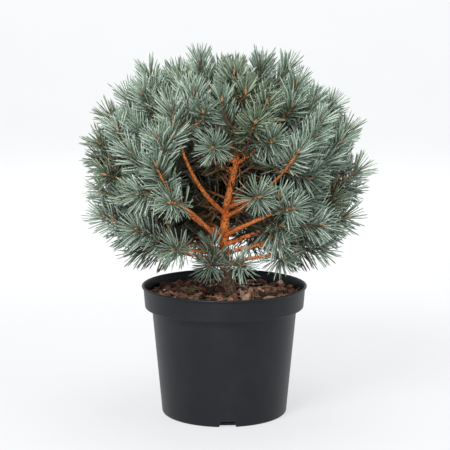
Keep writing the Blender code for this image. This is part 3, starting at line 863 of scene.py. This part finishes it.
def mass_curves(mass, rng):
    """All of a mass's shoots as (curve, bare share, share that bears old needles): its leading one, the side shoots,
    then their spurs."""
    curve, share, bare, shoots = mass
    oldest = BACK_OLD_FROM if curve[2].y > 0 else share
    curves = [(curve, bare, bare - oldest)]
    curves += [(twig, twig_bare, twig_bare - OLD_FROM) for twig, twig_bare in shoots]
    for twig, twig_bare, _ in list(curves):
        back = twig[2].y > BACK_FROM
        first = BACK_SPUR_FROM if back else max(0.1, twig_bare - 0.25)
        for spur in grow_spurs(twig, first, BACK_SPURS if back else SPURS, rng):
            curves.append((spur, 0.15, 0.0))
    return curves


def dead_twigs(rng):
    """Short dead twigs off the trunk below the lowest masses, mostly behind it, with the last of their needles."""
    twigs = []
    for n in range(DEAD_TWIGS):
        share = (n + rng.random()) / DEAD_TWIGS
        foot = trunk_at(DEAD_TWIG_HEIGHTS[0] + share * (DEAD_TWIG_HEIGHTS[1] - DEAD_TWIG_HEIGHTS[0]))
        way = heading(90 + DEAD_TWIG_TURN * math.cos(n * GOLDEN_ANGLE), rng.uniform(0, 45))
        tip = foot + way * rng.uniform(*DEAD_TWIG_LENGTHS)
        twigs.append((foot, foot.lerp(tip, 0.5) + Vector((0, 0, 0.003)), tip))
    return twigs


def deal_tint(curve, rng):
    """The number of a shoot's tint. Level shoots at the front get the palest tint, as painted light for the light that
    falls on them.
    """
    along = (curve[2] - curve[1]).normalized()
    draw, names = rng.random(), list(NEEDLE_TINTS)
    # Painted light: level shoots facing the front always take the pale tint
    if along.y < -0.6 and along.z < LEVEL_RISE:
        return names.index("pale_blue")
    for n, name in enumerate(names):
        draw -= NEEDLE_TINTS[name][1]
        if draw < 0:
            return n
    return 0


def make_foliage(crown):
    """Needles, twigs and buds. Needles are joined by neighbouring masses, each with its shoot's plain tint."""
    rng = random.Random(SEED + 1)
    nrng = np.random.default_rng(SEED + 2)
    segments = limb_segments(crown)
    finishes = []
    for name, (colour, _) in NEEDLE_TINTS.items():
        green = tuple(channel * GREEN_SIDE for channel in colour)
        finishes += [needle_finish(f"needle_{name}", green, 0.0), needle_finish(f"needle_{name}_wax", colour, WAX_BLOOM)]
    old = len(finishes)
    # Old needles' finishes: their dark colour is partly the old needles' own and partly painted shade
    finishes += [needle_finish("needle_old_and_shade", OLD_AND_SHADED_NEEDLE, 0.0), needle_finish("needle_old_wax", OLD_AND_SHADED_NEEDLE, 0.10)]
    finishes += [straw_finish(), straw_finish()]
    low, high = (np.array(corner) for corner in CAD_BOX)
    names = list(crown)
    twigs, buds = Wood(), Wood()
    for first_mass in range(0, len(names), MASSES_A_PIECE):
        group = names[first_mass : first_mass + MASSES_A_PIECE]
        gathered, tints = [], []
        for name in group:
            for curve, bare, old_share in mass_curves(crown[name], rng):
                off = curve[2] - CROWN_CENTRE
                # Painted shade: shoots ending deep inside the crown take the dark old-needle colour, which also stands
                # for their older, duller needles
                tint = old if off.length < SHADE * reach(off.normalized()) else 2 * deal_tint(curve, rng)
                for rows, kinds in sprays(curve, bare, old_share, nrng, tint, old):
                    gathered.append(rows[:5])
                    tints.append(kinds)
                add_twig(twigs, curve, nrng)
                add_bud(buds, curve, rng)
        if first_mass == 0:
            for curve in dead_twigs(rng):
                rows = spray(curve, 0.2, 1.0, DEAD_PAIRS_PER_METRE, (OLD_LEAN, OLD_LEAN / 2), nrng)
                gathered.append(rows[:5])
                tints.append(np.where(nrng.random(len(rows[0])) < DEAD_STRAW_SHARE, old + 2, old))
                add_twig(twigs, curve, nrng)
        feet, ways, curls, sides, lengths = (np.concatenate(part) for part in zip(*gathered))
        tints = np.concatenate(tints)
        tips = feet + lengths[:, None] * (ways + curls)
        keep = (tips[:, 2] > NEEDLE_FLOOR) & np.all(tips > low - 0.008, 1) & np.all(tips < high + 0.008, 1)
        for s in (0.5, 0.75, 1.0):
            keep &= clear_of_limbs(feet + lengths[:, None] * (ways * s + curls * s * s), segments, 0.0006)
        arrays = needle_arrays(feet[keep], ways[keep], curls[keep], sides[keep], lengths[keep])
        points, triangles, waxed = arrays
        kinds = np.repeat(tints[keep], len(waxed) // keep.sum()) + waxed
        piece = triangle_mesh(f"needle_sprays_{1 + first_mass // MASSES_A_PIECE}", points, triangles, kinds, finishes)
        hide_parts(*("needles_" + name for name in group))
        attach(piece, "root")
    for piece, slot in ((twigs.make("twigs", twig_finish()), "bark"), (buds.make("buds", bud_finish()), "bark")):
        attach(piece, "root")


def add_twig(wood, curve, nrng):
    """A twig from its fork to its bud, its radius varied a little at random from ring to ring."""
    start, bend, end = curve
    count = max(6, int((end - start).length / 0.004))
    line = [curve_point(start, bend, end, t) for t in np.linspace(0, 1, count)]
    radii = np.linspace(0.0017, 0.0012, count) * nrng.uniform(0.88, 1.15, count)
    wood.add(line, radii, 7)


def add_bud(wood, curve, rng):
    """The bud that ends a shoot, with one or two small ones beside it."""
    tip = curve[2]
    along = (curve[2] - curve[1]).normalized()
    side = along.orthogonal().normalized()
    rows = [(Vector((0, 0, 0)), 1.0)]
    for n in range(rng.choice((1, 2, 3))):
        rows.append((Matrix.Rotation(rng.uniform(0, 6.28), 3, along) @ side * 0.0022, rng.uniform(0.5, 0.7)))
    for off, size in rows:
        shares = np.linspace(0, 1, 6)
        line = [tip + off + (along + off * 90) * (BUD_LENGTH * size * s) for s in shares]
        radii = [BUD_RADIUS * size * (0.62 + 0.38 * math.sin(math.pi * min(1, s + 0.25))) * (1.02 - s) for s in shares]
        wood.add(line, radii, 7)


def arc(centre, radius, start, end, steps):
    """Points of a quarter or so of a circle in the (radius, z) plane, with angles in degrees."""
    angles = np.radians(np.linspace(start, end, steps))
    return [(centre[0] + radius * math.cos(a), centre[1] + radius * math.sin(a)) for a in angles]


def pot_profile():
    """The pot's wall, from the middle of its underside, up its outside, over its rolled lip and down its inside."""
    corner = BASE_CORNER * 0.55
    body = (BODY_TOP_RADIUS - BODY_FOOT_RADIUS) / (BAND_FOOT_Z - BASE_CORNER)
    fillet, edge, bead = 0.0012, 0.0016, RIM_LIP / 2
    rows = [(0.0, 0.0), (BASE_RADIUS - 0.004, 0.0)]
    rows += arc((BODY_FOOT_RADIUS - corner - body * 0.002, corner), corner, -90, -4, 8)
    rows += [(BODY_FOOT_RADIUS + body * z, BASE_CORNER + z) for z in np.linspace(0.004, BAND_FOOT_Z - 0.012, 12)]
    rows += arc((BODY_TOP_RADIUS + fillet, BAND_FOOT_Z - fillet), fillet, 180, 90, 5)
    rows += arc((BAND_FOOT_RADIUS - edge, BAND_FOOT_Z + edge), edge, -90, 0, 7)
    rise = POT_HEIGHT - 2 * bead - BAND_FOOT_Z - edge
    for share in np.linspace(0.15, 0.97, 6):
        rows.append((BAND_FOOT_RADIUS + share * (BAND_TOP_RADIUS - BAND_FOOT_RADIUS), BAND_FOOT_Z + edge + share * rise))
    rows += arc((RIM_RADIUS - bead, POT_HEIGHT - bead), bead, -80, 150, 14)
    inner = BAND_TOP_RADIUS - WALL
    rows += [(inner, POT_HEIGHT - 0.003), (BAND_FOOT_RADIUS - WALL, BAND_FOOT_Z + 0.004)]
    rows += [(BODY_TOP_RADIUS - WALL, BAND_FOOT_Z + 0.001), (BODY_FOOT_RADIUS - WALL, BASE_THICKNESS)]
    rows.append((0.0, BASE_THICKNESS))
    return rows


def turned_mesh(name, profile, sides, finish):
    """A body turned about Z from a profile of (radius, z) that starts and ends on the axis."""
    shape = bmesh.new()
    rings = []
    for radius, z in profile[1:-1]:
        ring = []
        for i in range(sides):
            angle = 2 * math.pi * i / sides
            ring.append(shape.verts.new((radius * math.cos(angle), radius * math.sin(angle), z)))
        rings.append(ring)
    ends = [shape.verts.new((0, 0, profile[0][1])), shape.verts.new((0, 0, profile[-1][1]))]
    for i in range(sides):
        j = (i + 1) % sides
        shape.faces.new((ends[0], rings[0][j], rings[0][i]))
        shape.faces.new((rings[-1][i], rings[-1][j], ends[1]))
        for low, high in zip(rings, rings[1:]):
            shape.faces.new((low[i], low[j], high[j], high[i]))
    mesh = bpy.data.meshes.new(name)
    shape.to_mesh(mesh)
    shape.free()
    return link(name, mesh, finish)


def cut_notches(pot):
    """Cuts the drainage notches out of the pot's foot, and applies the cuts."""
    near, far = BODY_FOOT_RADIUS - NOTCH_DEPTH, BODY_FOOT_RADIUS + 0.01
    foot, top = NOTCH_FOOT_WIDTH / 2, NOTCH_TOP_WIDTH / 2
    section = ((-foot, -0.002), (foot, -0.002), (top, NOTCH_HEIGHT), (-top, NOTCH_HEIGHT))
    cutters = []
    for n in range(NOTCHES):
        turn = Matrix.Rotation(math.radians(NOTCH_AZIMUTH + 360 * n / NOTCHES), 4, "Z")
        mesh = bpy.data.meshes.new(f"notch_{n}")
        faces = [(3, 2, 1, 0), (4, 5, 6, 7)]
        faces += [(i, (i + 1) % 4, 4 + (i + 1) % 4, 4 + i) for i in range(4)]
        mesh.from_pydata([turn @ Vector((r, y, z)) for r in (near, far) for y, z in section], [], faces)
        cutters.append(link(f"notch_{n}", mesh))
        modifier = pot.modifiers.new(f"notch_{n}", "BOOLEAN")
        modifier.object = cutters[-1]
        modifier.operation = "DIFFERENCE"
    graph = bpy.context.evaluated_depsgraph_get()
    pot.data = bpy.data.meshes.new_from_object(pot.evaluated_get(graph))
    pot.modifiers.clear()
    for cutter in cutters:
        bpy.data.objects.remove(cutter)


def make_pot():
    pot = turned_mesh("pot_shell", pot_profile(), POT_SIDES, pot_finish())
    cut_notches(pot)
    pot.data.shade_smooth()
    pot.data.set_sharp_from_angle(angle=math.radians(42))
    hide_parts("pot")
    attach(pot, "root")


def mulch_height(x, y):
    """The mulch's lumpy top, a little higher round the trunk."""
    mound = 0.003 * math.exp(-(x * x + y * y) / 0.0012)
    return MULCH_Z + mound + MULCH_LUMP * noise.fractal(Vector((x, y, 0.3)) * 55, 0.7, 2.1, 3)


def make_soil(finish):
    """The potting mix that shows between the chips, as a closed plug inside the pot. Its near-black colour is partly
    the mix's own and partly painted shade in the gaps.
    """
    shape = bmesh.new()
    radii = np.linspace(0.0, 0.1085, 30)[1:]
    sides = 96
    top = [shape.verts.new((0, 0, mulch_height(0, 0)))]
    rings = []
    for radius in radii:
        ring = []
        for i in range(sides):
            x, y = radius * math.cos(2 * math.pi * i / sides), radius * math.sin(2 * math.pi * i / sides)
            rough = 0.0012 * noise.noise(Vector((x, y, 1.7)) * 400)
            ring.append(shape.verts.new((x, y, mulch_height(x, y) - 0.003 + rough)))
        rings.append(ring)
    rings.append([shape.verts.new((v.co.x, v.co.y, BAND_FOOT_Z + 0.0065)) for v in rings[-1]])
    for i in range(sides):
        j = (i + 1) % sides
        shape.faces.new((top[0], rings[0][i], rings[0][j]))
        for low, high in zip(rings, rings[1:]):
            shape.faces.new((low[i], high[i], high[j], low[j]))
    shape.faces.new(list(reversed(rings[-1])))
    mesh = bpy.data.meshes.new("potting_mix")
    shape.to_mesh(mesh)
    shape.free()
    mesh.shade_smooth()
    piece = link("potting_mix", mesh, finish)
    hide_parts("mulch")
    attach(piece, "root")


def chip_arrays(size, rng):
    """One bark chip: a flat irregular flake with a chamfered edge, as points and triangles about its middle."""
    corners = rng.randint(6, 9)
    stretch = rng.uniform(1.2, 2.4)
    thick = size * rng.uniform(0.22, 0.50)
    rings = []
    for z, inset in ((-0.5, 0.80), (-0.15, 1.0), (0.25, 0.97), (0.5, 0.78)):
        state = random.Random(int(size * 1e7))
        ring = []
        for i in range(corners):
            angle = 2 * math.pi * (i + state.uniform(-0.28, 0.28)) / corners
            radius = size * inset * state.uniform(0.72, 1.1)
            ring.append((radius * math.cos(angle), radius * math.sin(angle) / stretch, z * thick))
        rings.append(ring)
    points = [(0, 0, -0.5 * thick)] + [p for ring in rings for p in ring] + [(0, 0, 0.56 * thick)]
    triangles = []
    for i in range(corners):
        j = (i + 1) % corners
        triangles.append((0, 1 + j, 1 + i))
        for k in range(len(rings) - 1):
            low, high = 1 + k * corners, 1 + (k + 1) * corners
            triangles += [(low + i, low + j, high + j), (low + i, high + j, high + i)]
        last = 1 + (len(rings) - 1) * corners
        triangles.append((last + i, last + j, len(points) - 1))
    return np.array(points), np.array(triangles)


def scatter_spot(rng, edge):
    """A random spot on the mulch, off the trunk."""
    while True:
        radius, angle = edge * math.sqrt(rng.random()), rng.uniform(0, 2 * math.pi)
        x, y = radius * math.cos(angle), radius * math.sin(angle)
        if math.hypot(x - TRUNK_LINE[0][0], y - TRUNK_LINE[0][1]) > 0.014:
            return x, y


def make_chips(finishes):
    """Bark chips and crumbs, lying over the mix at all angles, some of them pale."""
    rng = random.Random(SEED + 3)
    parts, kinds, base, triangles = [], [], 0, []
    for n in range(CHIPS + CRUMBS):
        crumb = n >= CHIPS
        size = rng.uniform(0.0014, 0.0036) if crumb else rng.uniform(*CHIP_SIZES)
        points, faces = chip_arrays(size, rng)
        x, y = scatter_spot(rng, 0.1105 - size * 0.85)
        tilt = 50 if crumb else CHIP_TILT
        turn = Matrix.Rotation(rng.uniform(0, 6.28), 3, "Z")
        turn = Matrix.Rotation(math.radians(rng.gauss(0, tilt)), 3, "X") @ turn
        turn = Matrix.Rotation(math.radians(rng.gauss(0, tilt)), 3, "Y") @ turn
        lift = rng.uniform(-0.001, 0.0035) if not crumb else rng.uniform(0.0, 0.003)
        placed = points @ np.array(turn).T + (x, y, mulch_height(x, y) + lift)
        parts.append(placed)
        triangles.append(faces + base)
        base += len(points)
        pale = rng.random()
        kinds.append(np.full(len(faces), 3 if pale < PALE_CHIPS else rng.randrange(3)))
    points = np.concatenate(parts)
    top = POT_HEIGHT - 0.002
    points[:, 2] = np.minimum(points[:, 2], top)
    piece = triangle_mesh("bark_chips", points, np.concatenate(triangles), np.concatenate(kinds), finishes, False)
    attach(piece, "root")


def make_litter():
    """Dead needles and a few white grains lying on the chips."""
    rng = random.Random(SEED + 4)
    nrng = np.random.default_rng(SEED + 5)
    feet, ways = [], []
    for _ in range(FALLEN_NEEDLES):
        x, y = scatter_spot(rng, 0.088)
        angle = rng.uniform(0, 2 * math.pi)
        feet.append((x, y, mulch_height(x, y) + rng.uniform(0.003, 0.006)))
        ways.append((math.cos(angle), math.sin(angle), rng.uniform(-0.04, 0.10)))
    feet, ways = np.array(feet), unit(np.array(ways))
    count = len(feet)
    curls = nrng.normal(0, 0.08, (count, 3))
    sides = np.cross(ways, (0, 0, 1))
    points, triangles, _ = needle_arrays(feet, ways, curls, sides, nrng.uniform(0.014, 0.028, count))
    points[:, 2] = np.clip(points[:, 2], MULCH_Z - 0.001, POT_HEIGHT - 0.001)
    piece = triangle_mesh("fallen_needles", points, triangles, np.zeros(len(triangles)), [straw_finish()])
    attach(piece, "root")
    make_straws(rng)
    shape = bmesh.new()
    for _ in range(GRAINS):
        x, y = scatter_spot(rng, 0.095)
        place = Matrix.Translation((x, y, mulch_height(x, y) + 0.004))
        bmesh.ops.create_icosphere(shape, subdivisions=2, radius=rng.uniform(0.0009, 0.0017), matrix=place)
    mesh = bpy.data.meshes.new("white_grains")
    shape.to_mesh(mesh)
    shape.free()
    mesh.shade_smooth()
    piece = link("white_grains", mesh, grain_finish())
    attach(piece, "root")


def make_straws(rng):
    """Dry grass straws, flat and a little bowed, lying on the chips at the front."""
    points, triangles = [], []
    for _ in range(STRAWS):
        turn, radius = math.radians(-90 + rng.uniform(-65, 50)), rng.uniform(0.045, 0.090)
        middle = Vector((radius * math.cos(turn), radius * math.sin(turn), 0.0))
        angle, length = rng.uniform(-0.6, 0.6) + math.pi * rng.random(), rng.uniform(*STRAW_LENGTHS)
        along, across = heading(math.degrees(angle), rng.uniform(-4, 6)), heading(math.degrees(angle) + 90, 20)
        bow, base = rng.uniform(-0.1, 0.1), len(points)
        lift = mulch_height(middle.x, middle.y) + 0.0065
        for share in (-0.5, -0.25, 0.0, 0.25, 0.5):
            centre = middle + along * (share * length) + across * (bow * length * (1 - 4 * share * share))
            centre.z = min(POT_HEIGHT - 0.0015, lift + along.z * share * length)
            width = STRAW_WIDTH * (0.5 - 0.5 * abs(share))
            points += [centre + across * width, centre + Vector((0, 0, 0.0006)), centre - across * width]
            points.append(centre - Vector((0, 0, 0.0004)))
        for k in range(4):
            for i in range(4):
                low, high, j = base + 4 * k, base + 4 * k + 4, (i + 1) % 4
                triangles += [(low + i, low + j, high + j), (low + i, high + j, high + i)]
        for low, flip in ((base, 1), (base + 16, -1)):
            triangles += [(low, low + 1, low + 2)[::flip], (low, low + 2, low + 3)[::flip]]
    kinds = np.zeros(len(triangles))
    piece = triangle_mesh("straws", np.array(points), np.array(triangles), kinds, [dry_straw_finish()], False)
    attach(piece, "root")


def make_stage():
    """A round pale floor that sweeps up into a low wall all about."""
    wall, bend, top, sides = 5.0, 1.3, 1.9, 96
    line = [(1.0, 0.0)] + [(wall - bend + x, z + bend) for x, z in arc((0, 0), bend, -90, 0, 24)] + [(wall, top)]
    angles = np.arange(sides) * 2 * math.pi / sides
    shape = bmesh.new()
    rings = [[shape.verts.new((r * math.cos(a), r * math.sin(a), z)) for a in angles] for r, z in line]
    shape.faces.new(rings[0])
    for low, high in zip(rings, rings[1:]):
        for i in range(sides):
            j = (i + 1) % sides
            shape.faces.new((low[i], high[i], high[j], low[j]))
    mesh = bpy.data.meshes.new("floor")
    shape.to_mesh(mesh)
    shape.free()
    mesh.shade_smooth()
    link("floor", mesh, floor_finish())


def add_lamp(name, place, target, size, power):
    lamp = bpy.data.lights.new(name, "AREA")
    lamp.shape = "DISK"
    lamp.size = size
    lamp.energy = power
    made = bpy.data.objects.new(name, lamp)
    made.location = place
    made.rotation_euler = (Vector(target) - Vector(place)).to_track_quat("-Z", "Y").to_euler()
    bpy.context.scene.collection.objects.link(made)


def make_light():
    world = bpy.data.worlds.new("studio")
    world.use_nodes = True
    world.node_tree.nodes["Background"].inputs["Color"].default_value = (0.97, 0.985, 1.0, 1.0)
    world.node_tree.nodes["Background"].inputs["Strength"].default_value = 0.40
    bpy.context.scene.world = world
    crown = (0.0, 0.0, 0.34)
    add_lamp("key", (-0.9, -1.9, 2.1), crown, 1.1, 68.0)
    add_lamp("front", (-0.4, -2.8, 0.6), crown, 0.8, 16.0)
    add_lamp("side", (1.9, -0.9, 1.2), crown, 0.9, 10.0)
    add_lamp("top", (0.1, 0.2, 2.5), crown, 1.4, 30.0)
    add_lamp("backdrop", (0.0, 1.4, 2.6), (0.0, 5.0, 0.9), 2.0, 130.0)
    bpy.context.scene.view_settings.view_transform = "Standard"


def make_camera():
    lens = bpy.data.cameras.new("camera")
    lens.lens = CAMERA_LENS
    lens.sensor_width = SENSOR
    camera = bpy.data.objects.new("camera", lens)
    camera.location = CAMERA_PLACE
    camera.rotation_euler = (math.radians(90 - CAMERA_PITCH), 0, 0)
    bpy.context.scene.collection.objects.link(camera)
    bpy.context.scene.camera = camera


def main():
    make_stage()
    make_light()
    make_camera()
    make_pot()
    # The potting mix is near black: its own dark colour, and painted shade for the gaps between the chips
    make_soil(chip_finish("potting_mix", (0.008, 0.005, 0.004), (0.026, 0.015, 0.010)))
    chips = [
        chip_finish("chip_dark", (0.022, 0.010, 0.006), (0.085, 0.036, 0.022)),
        chip_finish("chip_red", (0.075, 0.028, 0.016), (0.270, 0.110, 0.060)),
        chip_finish("chip_brown", (0.110, 0.050, 0.028), (0.340, 0.175, 0.105)),
        chip_finish("chip_pale", (0.260, 0.145, 0.095), (0.640, 0.430, 0.310)),
    ]
    make_chips(chips)
    make_litter()
    crown = grow_crown()
    make_trunk()
    make_boughs(crown)
    make_scales(crown)
    make_foliage(crown)


main()
